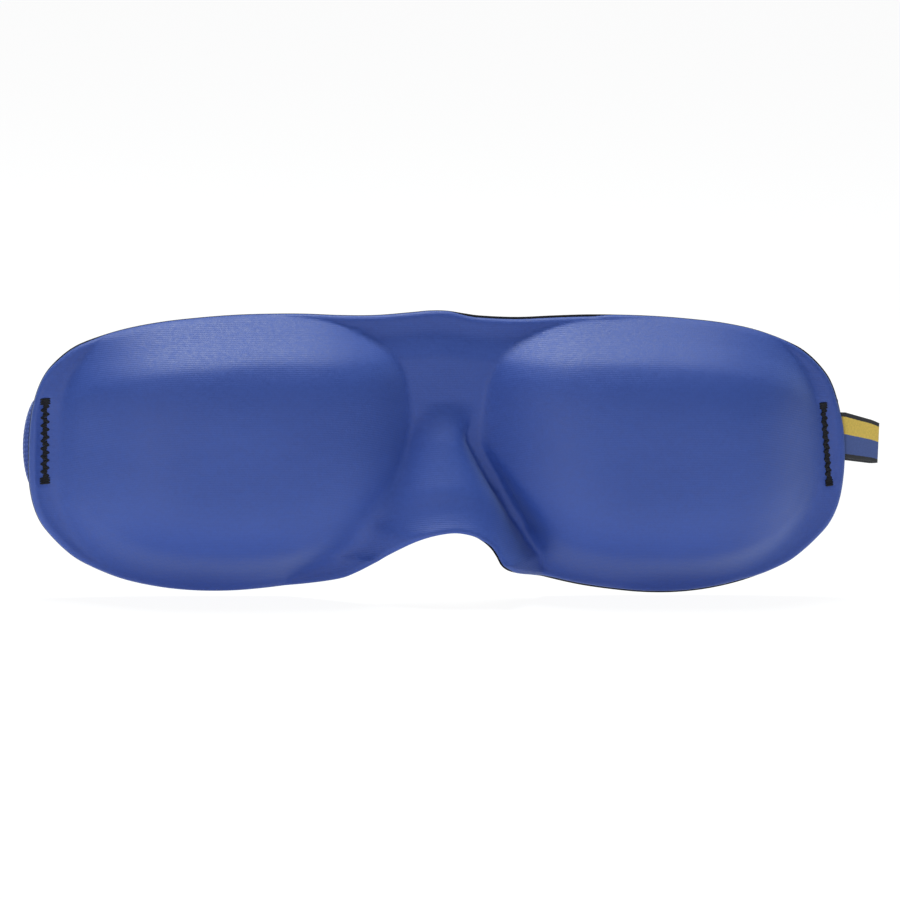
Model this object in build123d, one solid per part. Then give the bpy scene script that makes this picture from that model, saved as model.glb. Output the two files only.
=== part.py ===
from build123d import *
import math
import os

import numpy as np

# Contoured sleep eye mask with a hook-and-loop strap, worn upright. +Z is up, the
# front faces -Y, the wearer is on the +Y side and X runs along the width. Left is
# -X and right is +X. Origin: centre of the mask, between the eyes, on the plane of
# the lining's rim. Lengths are in millimetres, angles in degrees.

# ---------------------------------------------------------------- laminate sizes
RIM_T = 2.1            # laminate thickness at the pressed rim
BODY_T = 4.4           # laminate thickness away from the rim
COVER_T = 0.55         # knit outer cover
LINING_T = 0.50
BOND = 0.05            # bond line between layers
RIM_FLAT = 5.0         # width of the pressed rim
RIM_RAMP = 8.0         # width over which the foam reaches full thickness
COVER_INSET = 0.35     # cover's edge inside the lining's edge
FOAM_INSET = 0.8       # foam's edge inside the lining's edge
END_PRESS = 0.35       # how much thinner the foam is under the sewn ends
END_PRESS_X = 96.0     # where that pressing starts
END_PRESS_RUN = 8.0

# ---------------------------------------------------------------- relief sizes
DOME_DEPTH = 18.5      # eye cavity depth
DOME_X = 59.5          # dome centre from the middle
DOME_HALF_W = 50.5     # at the dome's foot
DOME_HALF_H = 38.5
DOME_CROWN = 4.2       # how flat the dome's crown is
DOME_FOOT = 1.18       # how softly the dome's foot lands
DOME_SQUARE = 0.9      # how square the inner top corner of a dome is
RIDGE_TOP = 2.0        # depth between the domes above the nose
RIDGE_DEPTH = 19.0     # how much deeper the nose ridge gets at the arch
RIDGE_Z = 15.0         # height where the ridge starts
RIDGE_RUN = 35.0       # from there down to the arch
CREASE_DEPTH = 1.8     # fold that runs down the right of the nose
CREASE_Z = 8.0         # height where the crease starts
CREASE_RUN = 33.0

# ---------------------------------------------------------------- strap sizes
STRAP_T = 1.5          # woven band thickness
STRAP_W = 25.0         # woven band width
STRAP_Z = 2.8          # height of the band's centre line
HALF_T = STRAP_T / 2
STRAP_Z0, STRAP_Z1 = STRAP_Z - STRAP_W / 2, STRAP_Z + STRAP_W / 2

LOOP_CX, LOOP_CY = 0.95, -27.76   # centre of the worn loop's arc
LOOP_R = 123.0         # main band's centre line
HOOK_T = 1.0           # hook patch thickness
PATCH_LOOP_T = 1.2     # loop patch thickness
CLOSE_GAP = 0.1        # radial slack shared by the joints between band and tab
TAB_R = LOOP_R - STRAP_T - HOOK_T - PATCH_LOOP_T - CLOSE_GAP
PATCH_W = 21.0
PATCH_Z0, PATCH_Z1 = STRAP_Z - PATCH_W / 2, STRAP_Z + PATCH_W / 2
CLEAR = 0.02           # between a band and what is sewn to it
SEAM_T = 0.3           # thickness of the patch and tip stitching
SEAM_W = 0.5           # width of the patch stitching
SEAM_INSET_Z = 1.6     # stitching inside the patch's long edges
SEAM_INSET_DEG = 0.8   # stitching inside the patch's ends

# polar angles about the loop's centre
LEFT_FOLD_END = 165.0
BAND_START = LEFT_FOLD_END - 0.1
HINGE_2 = 125.0        # hinge lines of the main band
HINGE_3 = 85.0
TIP_START = 54.0       # where the patched tip starts
TIP_END = 27.0
HOOK_START, HOOK_END = TIP_END + 1.2, 49.0
TAB_START = 15.9       # hinge line of the tab
TAB_END = 50.0
RIGHT_FOLD_END = TAB_START - 0.2
LOOP_START, LOOP_END = 21.0, TAB_END - 0.8
GAP_DEG = 0.08         # left at each side of a hinge line

FOLD_R_L = 2.6         # left fold radius on the centre line
FOLD_R_R = 2.2         # right fold radius
ROOT_L_X = -101.0      # inner edges of the sewn ends
ROOT_R_X = 100.0

# ---------------------------------------------------------------- stitch sizes
STITCH_L_X = -114.0    # left zigzag column
STITCH_R_X = 112.0     # right zigzag column
STITCH_R_LEAN = -1.6   # how far the right column leans from bottom to top
STITCH_LEN = 23.6
STITCH_PITCH = 2.15
STITCH_HALF = 1.0      # half width of the zigzag's centre line
THREAD = 0.5           # thread width
FRONT_THREAD_T = 0.45
THREAD_CLEAR = 0.03    # under the thread
SINK = 0.55            # depth of the groove for the thread in the sewn band
SINK_TOP = 0.05        # thread's face below the band's face
TACK_HALF_H = 0.6      # bar that ends a zigzag
TACK_OVER = 0.3        # how far the bar reaches past the zigzag's centre line
GROOVE_HALF_L = 1.6
GROOVE_HALF_R = 2.4

# ---------------------------------------------------------------- label sizes
LABEL_T = 0.8          # folded ribbon, two layers
LABEL_X0, LABEL_HINGE_X, LABEL_X1 = 108.0, 118.2, 128.4
LABEL_GAP = 0.45       # at each side of the label's hinge line
LABEL_Z0, LABEL_Z1 = -2.6, 10.8          # at the root and hinge
LABEL_END_Z0, LABEL_END_Z1 = -3.4, 8.6   # at the free end

# ---------------------------------------------------------------- outline
# (x, z) from the top centre round the right end to the start of the nose arch;
# the left half mirrors it
HALF = [
    (0.0, 40.5), (5.0, 40.1), (10.0, 39.4), (20.3, 38.7), (30.4, 38.9),
    (40.5, 39.3), (50.7, 39.4), (60.8, 39.1), (71.0, 38.3), (81.1, 37.0),
    (91.2, 34.9), (101.3, 31.4), (106.6, 28.4), (111.4, 23.9), (114.1, 19.9),
    (116.0, 14.6), (117.1, 8.0), (117.4, 0.0), (117.1, -8.0), (116.0, -14.4),
    (114.1, -19.5), (111.4, -23.3), (106.6, -28.0), (101.3, -31.6),
    (91.2, -35.7), (81.1, -38.1), (71.0, -39.3), (60.8, -39.4), (50.7, -38.7),
    (40.5, -37.4),
]
# (x, z) up each flank of the nose arch, the left one with x mirrored;
# the right flank is steeper
ARCH_RIGHT = [(30.0, -35.3), (24.5, -33.8), (19.8, -32.4), (15.8, -30.9),
              (13.5, -29.1), (12.4, -27.0), (10.9, -24.6), (8.3, -22.4), (5.0, -20.7)]
ARCH_LEFT = [(30.5, -34.9), (26.0, -32.9), (21.3, -29.9), (16.0, -26.4),
             (10.6, -22.9), (5.4, -20.7)]
ARCH_TOP = (0.0, -19.9)
EDGE_STEPS = 8         # samples between two outline points


def outline_points(inset):
    right = HALF + ARCH_RIGHT + [ARCH_TOP]
    left = [(-x, z) for x, z in reversed(HALF[1:] + ARCH_LEFT)]
    pts = np.array(right + left, dtype=float)
    if inset:
        tangent = np.roll(pts, -1, axis=0) - np.roll(pts, 1, axis=0)
        tangent /= np.linalg.norm(tangent, axis=1)[:, None]
        inward = np.stack([tangent[:, 1], -tangent[:, 0]], axis=1)
        pts = pts + inward * inset
    return pts


def smooth_outline(inset):
    # periodic Catmull-Rom samples of the outline, moved inward by inset
    pts = outline_points(inset)
    count = len(pts)
    edge = []
    for i in range(count):
        before, start = pts[i - 1], pts[i]
        end, after = pts[(i + 1) % count], pts[(i + 2) % count]
        for k in range(EDGE_STEPS):
            t = k / EDGE_STEPS
            edge.append(0.5 * ((2 * start) + (-before + end) * t
                               + (2 * before - 5 * start + 4 * end - after) * t * t
                               + (-before + 3 * start - 3 * end + after) * t ** 3))
    return np.array(edge)


EDGE = smooth_outline(0.0)


def edge_distance(x, z):
    # distance inside the outline, negative outside it
    nxt = np.roll(EDGE, -1, axis=0)
    seg = nxt - EDGE
    xx, zz = x[..., None], z[..., None]
    dx = xx - EDGE[:, 0]
    dz = zz - EDGE[:, 1]
    t = np.clip((dx * seg[:, 0] + dz * seg[:, 1]) / (seg ** 2).sum(1), 0, 1)
    dist = np.hypot(dx - t * seg[:, 0], dz - t * seg[:, 1]).min(-1)
    z_a, z_b = EDGE[:, 1], nxt[:, 1]
    cross = ((z_a > zz) != (z_b > zz)) & (
        xx < seg[:, 0] * (zz - z_a) / (z_b - z_a + 1e-12) + EDGE[:, 0])
    inside = cross.sum(-1) % 2 == 1
    return np.where(inside, dist, -dist)


# ---------------------------------------------------------------- relief
def blend(value, start, run):
    # eases from 0 at start to 1 at start + run
    t = np.clip((value - start) / run, 0.0, 1.0)
    return t * t * (3 - 2 * t)


def dome(x, z):
    # superellipse domes, squarer at the outer end and the inner top corner
    abs_x = np.abs(x)
    top = blend(z, start=2.0, run=22.0)
    outer = blend(abs_x, start=40.0, run=40.0)
    inner = blend(DOME_X - abs_x, start=0.0, run=26.0)
    across = np.abs(abs_x - DOME_X) / DOME_HALF_W
    up = np.abs(z) / DOME_HALF_H
    power = 2.2 + 0.7 * outer + DOME_SQUARE * top * inner
    radius = (across ** power + up ** power) ** (1.0 / power)
    foot = DOME_FOOT + 0.35 * (1.0 - top) + 0.1 * outer
    return DOME_DEPTH * np.clip(1.0 - radius ** DOME_CROWN, 0.0, None) ** foot


def ridge(x, z):
    # a broad flare to the left, a steep flank to the right
    t = np.clip((RIDGE_Z - z) / RIDGE_RUN, 0.0, 1.25)   # 0 at the start, 1 at the arch
    height = RIDGE_TOP * blend(t, start=-0.02, run=0.2) + RIDGE_DEPTH * t ** 1.3
    right = blend(x, start=-3.0, run=6.0)
    steep = blend(t, start=0.0, run=0.3)
    low = blend(t, start=0.72, run=0.45)
    left_w = 8.0 + 9.0 * t + 13.0 * t * t
    right_w = 8.5 - 5.0 * blend(t, start=0.0, run=0.22) + 35.2 * blend(t, start=0.0, run=2.0)
    across = np.abs(x) / (left_w + (right_w - left_w) * right)
    crown = 1.9 + 0.9 * right * steep
    foot = 1.3 - 0.35 * right * steep + (0.2 + 0.55 * right) * low
    return height * np.clip(1.0 - across ** crown, 0.0, None) ** foot


def crease(x, z):
    # groove that slants outward and widens as it goes down, fading at both ends
    t = (CREASE_Z - z) / CREASE_RUN
    centre_x = 4.8 + 0.62 * (7.4 - z)
    width = 1.9 + 1.3 * np.clip(t, 0, 1)
    fade = blend(t, start=0.0, run=0.45), blend(t, start=1.12, run=-0.35)
    return CREASE_DEPTH * fade[0] * fade[1] * np.exp(
        -((x - centre_x) * 0.85 / width) ** 2)


def depth(x, z):
    # smooth maximum of domes and ridge, sharper on the right, less the crease
    domes, nose = dome(x, z), ridge(x, z)
    power = 3.3 + 0.9 * np.tanh(x / 4.0)
    return np.maximum((domes ** power + nose ** power) ** (1.0 / power) - crease(x, z), 0.0)


def wearer_side(x, z):
    return -depth(x, z)


def foam_back(x, z):
    return -depth(x, z) - END_PRESS * blend(np.abs(x), END_PRESS_X, END_PRESS_RUN)


def outer_side(x, z):
    rise = blend(edge_distance(x, z), RIM_FLAT, RIM_RAMP)
    return -depth(x, z) - (RIM_T + (BODY_T - RIM_T) * rise)


# ---------------------------------------------------------------- laminate
SHEET_COLS, SHEET_ROWS = 79, 25
SHEET_END_Z = 8.0      # the sheet's end columns span the outline beyond +-this height
END_POWER = 12         # keeps the end bulge to the outermost columns


def sheet(y_of, inset):
    # surface whose own border is the mask's outline, so that it needs no trimming
    edge = smooth_outline(inset)
    x_max = edge[:, 0].max()
    top = edge[edge[:, 1] >= SHEET_END_Z]
    top = top[np.argsort(top[:, 0])]
    low = edge[edge[:, 1] <= -SHEET_END_Z]
    low = low[np.argsort(low[:, 0])]
    x_end = min(top[:, 0].max(), low[:, 0].max())
    cols = np.linspace(0, 1, SHEET_COLS)
    rows = np.linspace(0, 1, SHEET_ROWS)
    even = 2 * cols - 1
    # columns are uneven: the weights below set how they crowd along X
    xs = x_end * (0.40 * -np.cos(np.pi * cols) + 0.60 * even
                  - 0.07 * np.sin(2 * np.pi * even))
    high_z = np.interp(xs, top[:, 0], top[:, 1])
    low_z = np.interp(xs, low[:, 0], low[:, 1])
    x = np.repeat(xs[:, None], SHEET_ROWS, axis=1)
    z = low_z[:, None] + (high_z - low_z)[:, None] * rows[None, :]
    x = x + np.sign(x) * ((x_max - x_end) * (1 - (2 * rows - 1) ** 2))[None, :] * (
        np.abs(xs)[:, None] / x_end) ** END_POWER
    y = y_of(x, z)
    points = [[(float(x[i, j]), float(y[i, j]), float(z[i, j])) for j in range(SHEET_ROWS)]
              for i in range(SHEET_COLS)]
    return Face.make_surface_from_array_of_points(points, tol=0.01, min_deg=3, max_deg=8)


def slab(front, back):
    # closed layer between two sheets, with ruled faces round the rim
    faces = [front, back]
    for edge in front.edges():
        mid = edge.center()
        other = min(back.edges(), key=lambda c: (c.center().X - mid.X) ** 2
                    + (c.center().Z - mid.Z) ** 2)
        faces.append(Face.make_surface_from_curves(edge, other))
    return Solid(Shell(faces))


lining_sheet = sheet(wearer_side, 0.0)
cover_sheet = sheet(outer_side, COVER_INSET)
lining = slab(Pos(0, -LINING_T, 0) * lining_sheet, lining_sheet)
foam_core = slab(Pos(0, COVER_T + BOND, 0) * sheet(outer_side, FOAM_INSET),
                 Pos(0, -LINING_T - BOND, 0) * sheet(foam_back, FOAM_INSET))
outer_cover = slab(cover_sheet, Pos(0, COVER_T, 0) * cover_sheet)


# ---------------------------------------------------------------- solid helpers
def box(x0, x1, y0, y1, z0, z1):
    return Pos((x0 + x1) / 2, (y0 + y1) / 2, (z0 + z1) / 2) * Box(
        x1 - x0, y1 - y0, z1 - z0)


def plate(points, y0, y1):
    # flat piece with an (x, z) outline
    wire = Polyline(*[(x, y1, z) for x, z in points], close=True)
    return extrude(make_face(wire), amount=y1 - y0, dir=(0, -1, 0))


def polar(radius, deg):
    angle = math.radians(deg)
    return LOOP_CX + radius * math.cos(angle), LOOP_CY + radius * math.sin(angle)


def shell(r0, r1, lo, hi, z0=STRAP_Z0, z1=STRAP_Z1):
    # part of a round wall about the loop's centre, between two polar angles
    angles = (lo, 0.5 * (lo + hi), hi)
    p0, p1, p2 = ((*polar(r0, a), z0) for a in angles)
    q0, q1, q2 = ((*polar(r1, a), z0) for a in angles)
    wire = [ThreePointArc(p0, p1, p2), Line(p2, q2), ThreePointArc(q2, q1, q0), Line(q0, p0)]
    return extrude(make_face(wire), amount=z1 - z0, dir=(0, 0, 1))


def band(radius, lo, hi):
    return shell(radius - HALF_T, radius + HALF_T, lo, hi)


def patch_stitching(r0, patch_lo, patch_hi):
    # rectangular run of thread just inside a patch's edges
    r1 = r0 + SEAM_T
    lo, hi = patch_lo + SEAM_INSET_DEG, patch_hi - SEAM_INSET_DEG
    z0, z1 = PATCH_Z0 + SEAM_INSET_Z, PATCH_Z1 - SEAM_INSET_Z
    width_deg = math.degrees(SEAM_W / r0)
    return shell(r0, r1, lo, hi, z0, z1) - shell(
        r0 - 1, r1 + 1, lo + width_deg, hi - width_deg, z0 + SEAM_W, z1 - SEAM_W)


# ---------------------------------------------------------------- sewn ends
Y_LEFT = BOND + HALF_T                     # left band lies on the lining
Y_LABEL = BOND + LABEL_T / 2               # label lies on the lining
Y_RIGHT = BOND + LABEL_T + BOND + HALF_T   # right tab lies on the label


def sewn_end(x_in, x_turn, y_mid, radius, side, end_polar, groove_x, groove_half):
    # flat end that runs outboard and turns back towards the wearer, with a groove
    # for the thread; side is -1 on the left and +1 on the right, and end_polar is
    # measured on the fold
    r_in, r_out = radius - HALF_T, radius + HALF_T
    y_front, y_back = y_mid - HALF_T, y_mid + HALF_T

    def at(r, deg):
        angle = math.radians(deg)
        return (x_turn + side * r * math.cos(angle),
                y_mid + radius + r * math.sin(angle), STRAP_Z0)

    mid = (end_polar - 90.0) / 2
    wire = [
        Line((x_in, y_front, STRAP_Z0), (x_turn, y_front, STRAP_Z0)),
        ThreePointArc(at(r_out, -90), at(r_out, mid), at(r_out, end_polar)),
        Line(at(r_out, end_polar), at(r_in, end_polar)),
        ThreePointArc(at(r_in, end_polar), at(r_in, mid), at(r_in, -90)),
        Line((x_turn, y_back, STRAP_Z0), (x_in, y_back, STRAP_Z0)),
        Line((x_in, y_back, STRAP_Z0), (x_in, y_front, STRAP_Z0)),
    ]
    root = extrude(make_face(wire), amount=STRAP_Z1 - STRAP_Z0, dir=(0, 0, 1))
    return root - box(groove_x - groove_half, groove_x + groove_half,
                      y_back - SINK, y_back + 1, STRAP_Z0 - 1, STRAP_Z1 + 1)


left_fold_polar = 180 - LEFT_FOLD_END
turn_left_x = (polar(LOOP_R, LEFT_FOLD_END)[0]
               + FOLD_R_L * math.cos(math.radians(left_fold_polar)))
strap_root_left = sewn_end(ROOT_L_X, turn_left_x, Y_LEFT, FOLD_R_L, -1,
                           left_fold_polar, STITCH_L_X, GROOVE_HALF_L)
turn_right_x = (polar(TAB_R, RIGHT_FOLD_END)[0]
                - FOLD_R_R * math.cos(math.radians(TAB_START)))
strap_root_right = sewn_end(ROOT_R_X, turn_right_x, Y_RIGHT, FOLD_R_R, 1,
                            RIGHT_FOLD_END, STITCH_R_X, GROOVE_HALF_R)

# ---------------------------------------------------------------- main band
BAND_IN = LOOP_R - HALF_T - CLEAR
BAND_OUT = LOOP_R + HALF_T + CLEAR
strap_link_left = band(LOOP_R, HINGE_2 + GAP_DEG, BAND_START - GAP_DEG)
strap_link_middle = band(LOOP_R, HINGE_3 + GAP_DEG, HINGE_2 - GAP_DEG)
strap_link_right = band(LOOP_R, TIP_START + GAP_DEG, HINGE_3 - GAP_DEG)
strap_tip = band(LOOP_R, TIP_END, TIP_START - GAP_DEG)
hook_patch = shell(BAND_IN - HOOK_T, BAND_IN, HOOK_START, HOOK_END, PATCH_Z0, PATCH_Z1)
hook_patch_stitching = patch_stitching(BAND_OUT, HOOK_START, HOOK_END)
tip_end_stitching = shell(BAND_OUT, BAND_OUT + SEAM_T, TIP_END + 0.7, TIP_END + 1.0,
                          STRAP_Z0 + 1.5, STRAP_Z1 - 1.5)

# ---------------------------------------------------------------- tab
TAB_OUT = TAB_R + HALF_T + CLEAR
strap_tab = band(TAB_R, TAB_START + GAP_DEG, TAB_END)
loop_patch = shell(TAB_OUT, TAB_OUT + PATCH_LOOP_T, LOOP_START, LOOP_END,
                   PATCH_Z0, PATCH_Z1)
loop_patch_stitching = patch_stitching(TAB_R - HALF_T - CLEAR - SEAM_T,
                                       LOOP_START, LOOP_END)


# ---------------------------------------------------------------- zigzag columns
def zigzag(centre_x, lean, y0, y1):
    count = int(round(STITCH_LEN / STITCH_PITCH)) * 2
    heights = np.linspace(STITCH_LEN / 2, -STITCH_LEN / 2, count + 1)
    swing = np.array([STITCH_HALF * (-1) ** k for k in range(count + 1)])
    xs = centre_x + lean * (heights / STITCH_LEN) + swing
    left, right = (
        [(float(x + offset), float(z + STRAP_Z)) for x, z in zip(xs, heights)]
        for offset in (-THREAD / 2, THREAD / 2))
    solid = plate(left + right[::-1], y0, y1)
    reach = STITCH_HALF + TACK_OVER
    for end in (1, -1):
        height = (STITCH_LEN / 2 - TACK_HALF_H) * end
        x = centre_x + lean * (height / STITCH_LEN)
        z = height + STRAP_Z
        solid = solid + box(x - reach, x + reach, y0, y1, z - TACK_HALF_H, z + TACK_HALF_H)
    return solid


def stitch_column(centre_x, lean, band_y):
    # one zigzag on the mask's front and one sunk in the sewn band
    front_y = -RIM_T - THREAD_CLEAR
    face_y = band_y + HALF_T
    return Compound(children=[
        zigzag(centre_x, lean, front_y - FRONT_THREAD_T, front_y),
        zigzag(centre_x, lean, face_y - SINK + THREAD_CLEAR, face_y - SINK_TOP)])


strap_stitch_left = stitch_column(STITCH_L_X, 0.0, Y_LEFT)
strap_stitch_right = stitch_column(STITCH_R_X, STITCH_R_LEAN, Y_RIGHT)

# ---------------------------------------------------------------- side label
LABEL_Y0, LABEL_Y1 = Y_LABEL - LABEL_T / 2, Y_LABEL + LABEL_T / 2
label_root = box(LABEL_X0, LABEL_HINGE_X - LABEL_GAP, LABEL_Y0, LABEL_Y1,
                 LABEL_Z0, LABEL_Z1)
side_label = plate([(LABEL_HINGE_X + LABEL_GAP, LABEL_Z1), (LABEL_X1, LABEL_END_Z1),
                    (LABEL_X1, LABEL_END_Z0), (LABEL_HINGE_X + LABEL_GAP, LABEL_Z0)],
                   LABEL_Y0, LABEL_Y1)

# ---------------------------------------------------------------- export
NODES = {
    "outer_cover": outer_cover, "foam_core": foam_core, "lining": lining,
    "strap_stitch_left": strap_stitch_left, "strap_stitch_right": strap_stitch_right,
    "strap_root_left": strap_root_left, "strap_root_right": strap_root_right,
    "label_root": label_root, "side_label": side_label,
    "strap_link_left": strap_link_left, "strap_link_middle": strap_link_middle,
    "strap_link_right": strap_link_right, "strap_tip": strap_tip,
    "hook_patch": hook_patch, "hook_patch_stitching": hook_patch_stitching,
    "tip_end_stitching": tip_end_stitching, "strap_tab": strap_tab,
    "loop_patch": loop_patch, "loop_patch_stitching": loop_patch_stitching,
}

os.makedirs("parts", exist_ok=True)
for name, shape in NODES.items():
    export_step(shape, f"parts/{name}.step")
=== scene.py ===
"""A padded fabric mask with two domes, a sewn strap, a tab and a striped label.

The mask spans X and stands up along Z. Its front faces -Y, and left is -X.
The strap is sewn to the left end and runs round behind the mask (+Y). Its tip
carries hook tape and overlaps the tab, which is sewn to the right end.
Shapes are in millimetres, turned into metres as each mesh is made. Materials,
lights, camera and floor are in metres.
"""
import math
from collections import namedtuple

import bmesh
import bpy
import numpy as np
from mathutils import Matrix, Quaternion, Vector
from mathutils.geometry import delaunay_2d_cdt


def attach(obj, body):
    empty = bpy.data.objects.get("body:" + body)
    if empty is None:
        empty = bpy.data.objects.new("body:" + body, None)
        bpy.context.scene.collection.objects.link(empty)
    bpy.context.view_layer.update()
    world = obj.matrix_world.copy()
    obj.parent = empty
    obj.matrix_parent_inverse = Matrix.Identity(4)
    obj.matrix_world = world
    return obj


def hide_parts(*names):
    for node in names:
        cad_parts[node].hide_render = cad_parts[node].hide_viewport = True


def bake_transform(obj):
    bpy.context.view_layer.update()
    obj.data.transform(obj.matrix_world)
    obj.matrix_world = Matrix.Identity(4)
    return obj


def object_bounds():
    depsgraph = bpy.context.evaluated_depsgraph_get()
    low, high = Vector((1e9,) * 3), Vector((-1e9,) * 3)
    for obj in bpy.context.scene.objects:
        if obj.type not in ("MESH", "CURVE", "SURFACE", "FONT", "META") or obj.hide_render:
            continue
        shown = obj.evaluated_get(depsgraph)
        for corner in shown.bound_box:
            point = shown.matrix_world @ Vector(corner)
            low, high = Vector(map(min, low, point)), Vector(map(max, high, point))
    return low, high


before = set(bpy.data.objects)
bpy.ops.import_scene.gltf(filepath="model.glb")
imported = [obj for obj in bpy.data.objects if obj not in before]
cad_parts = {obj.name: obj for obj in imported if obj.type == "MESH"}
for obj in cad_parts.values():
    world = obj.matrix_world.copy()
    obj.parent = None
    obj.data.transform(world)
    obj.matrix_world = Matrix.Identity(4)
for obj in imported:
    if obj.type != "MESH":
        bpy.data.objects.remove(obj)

CAD_BOX = [list(map(float, p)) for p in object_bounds()]
TAU = 2 * math.pi
MM = 0.001

# ------------------------------------------------------------------ sizes (mm)
RIM_T, BODY_T = 2.1, 4.4                # mask thickness at the rim and inside it
RIM_FLAT, RIM_RAMP = 5.0, 8.0           # width of the thin rim, then of the slope
RIM_ROUND = 1.5                         # width of the rounded edge
COVER_T, LINING_T = 0.55, 0.50
FOAM_INSET, FOAM_GAP = 1.3, 0.06

DOME_DEPTH, DOME_X = 18.5, 59.5
DOME_HALF_W, DOME_HALF_H = 50.5, 38.5
DOME_POWER, DOME_FOOT, DOME_SQUARE = 4.2, 1.18, 0.9
RIDGE_TOP, RIDGE_DEPTH = 2.0, 19.0      # the ridge starts at RIDGE_Z and grows downward
RIDGE_Z, RIDGE_RUN = 15.0, 35.0
CREASE_DEPTH = 7.0

STRAP_T, STRAP_W, STRAP_Z = 1.5, 25.0, 2.8
HALF_T = STRAP_T / 2
BACK_GAP, LABEL_ROOM = 0.05, 0.8        # the folded label lies under the right band
LEFT_BAND_Y = BACK_GAP + HALF_T
RIGHT_BAND_Y = BACK_GAP + LABEL_ROOM + BACK_GAP + HALF_T

LOOP_X, LOOP_Y, LOOP_R = 0.95, -27.76, 123.0    # arc of the strap, seen from above
HOOK_T, LOOP_T = 1.0, 1.2
TAB_R = LOOP_R - STRAP_T - HOOK_T - LOOP_T - 0.1
FOLD_R_LEFT, FOLD_R_RIGHT = 2.6, 2.2
# places on the arc in degrees, from +X towards +Y
STRAP_START, STRAP_TIP = 165.0, 27.0
TAB_START, TAB_END = 15.84, 50.0
HOOK_SPAN = (STRAP_TIP + 1.2, 49.0)
LOOP_SPAN = (21.0, TAB_END - 0.8)
TAPE_SEAM = 0.8                         # from a tape's ends in to its stitching
TAPE_HALF_W, TAPE_SEAM_HALF_W = 10.5, 8.9

STITCH_LEN, STITCH_PITCH = 23.6, 2.15
# lean: change in x over the column's length; swell: height of the fold outboard of it
Column = namedtuple("Column", "name side x lean half_width thread swell back_y")
COLUMNS = (
    Column("left", -1, -113.0, -0.5, 1.25, 0.27, 0.22, LEFT_BAND_Y + HALF_T),
    Column("right", 1, 112.0, -2.9, 1.0, 0.34, 0.34, RIGHT_BAND_Y + HALF_T),
)

# Outline of the mask, one table a side since they differ: (distance from x = 0, z)
RIGHT_SIDE = [
    (0.0, 40.0), (5.0, 39.3), (10.0, 38.7), (20.3, 38.4), (30.4, 38.9),
    (40.5, 39.3), (50.7, 39.3), (60.8, 39.0), (71.0, 38.3), (81.1, 37.2),
    (91.2, 35.1), (101.3, 31.4), (106.6, 28.1), (111.1, 23.6), (113.6, 19.6),
    (115.5, 14.4), (117.1, 8.0), (118.0, 0.0), (117.8, -8.0), (116.7, -14.5),
    (114.5, -19.7), (111.5, -23.5), (106.6, -28.2), (101.3, -31.9),
    (91.2, -36.1), (81.1, -38.7), (71.0, -40.0), (60.8, -40.1), (50.7, -39.2),
    (40.5, -37.7), (30.0, -35.3), (24.5, -33.6), (19.6, -32.0), (15.2, -30.3),
    (12.8, -28.6), (11.7, -26.5), (10.3, -24.3), (8.0, -22.3), (5.0, -20.7),
    (0.0, -19.9),
]
LEFT_SIDE = [
    (5.0, 40.0), (10.0, 39.5), (20.3, 38.6), (30.4, 38.5), (40.5, 38.8),
    (50.7, 38.7), (60.8, 38.3), (71.0, 37.5), (81.1, 36.3), (91.2, 34.2),
    (101.3, 30.9), (106.6, 28.2), (111.4, 23.9), (114.1, 19.9),
    (116.0, 14.6), (117.1, 8.0), (117.4, 0.0), (117.1, -8.0), (116.0, -14.2),
    (114.1, -19.1), (111.4, -22.9), (106.6, -27.7), (101.3, -31.4),
    (91.2, -35.7), (81.1, -38.1), (71.0, -39.3), (60.8, -39.5), (50.7, -38.8),
    (40.5, -37.4), (30.5, -34.9), (26.0, -32.7), (21.3, -29.6), (16.0, -26.1),
    (10.6, -22.7), (5.4, -20.7),
]
OUTLINE_STEP, SPLINE_STEPS, RELAX_ROUNDS = 0.8, 16, 6

# Mesh of the mask layers: rings at these distances in from the edge, then a lattice
RINGS = (0.0, 0.08, 0.22, 0.42, 0.68, 1.0, 1.4, 1.9, 2.5, 3.2)
LATTICE_STEP = 1.0
BAND_STEP = 0.24


# ------------------------------------------------------------------ curves
def smooth(t):
    t = np.clip(t, 0.0, 1.0)
    return t * t * (3 - 2 * t)


def bell(offset, width):
    return np.exp(-(offset / width) ** 2)


def quarter_round(t):
    return np.sqrt(np.clip(1 - (1 - np.clip(t, 0, 1)) ** 2, 0, 1))


def window(value, low, high, soft):
    """One between low and high, fading to zero over `soft` inside each end."""
    return smooth((value - low) / soft) * smooth((high - value) / soft)


def path_lengths(points):
    steps = np.hypot(*np.diff(points, axis=0).T)
    return np.concatenate([[0], np.cumsum(steps)])


def points_at(points, lengths, wanted):
    return np.stack([np.interp(wanted, lengths, points[:, k]) for k in (0, 1)], 1)


def resample(points, step):
    """Evenly spaced centres along a path, with their tangents and distances."""
    lengths = path_lengths(points)
    count = max(2, int(round(lengths[-1] / step)) + 1)
    distance = np.linspace(0, lengths[-1], count)
    centre = points_at(points, lengths, distance)
    tangent = np.gradient(centre, axis=0)
    tangent /= np.linalg.norm(tangent, axis=1)[:, None]
    return centre, tangent, distance


def polar(radius, degrees, *height):
    """Points about the centre of the strap's arc: (x, y), or (x, y, z) with a height."""
    a = np.radians(degrees)
    x, y = LOOP_X + radius * np.cos(a), LOOP_Y + radius * np.sin(a)
    return np.stack(np.broadcast_arrays(x, y, *height), -1)


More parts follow.
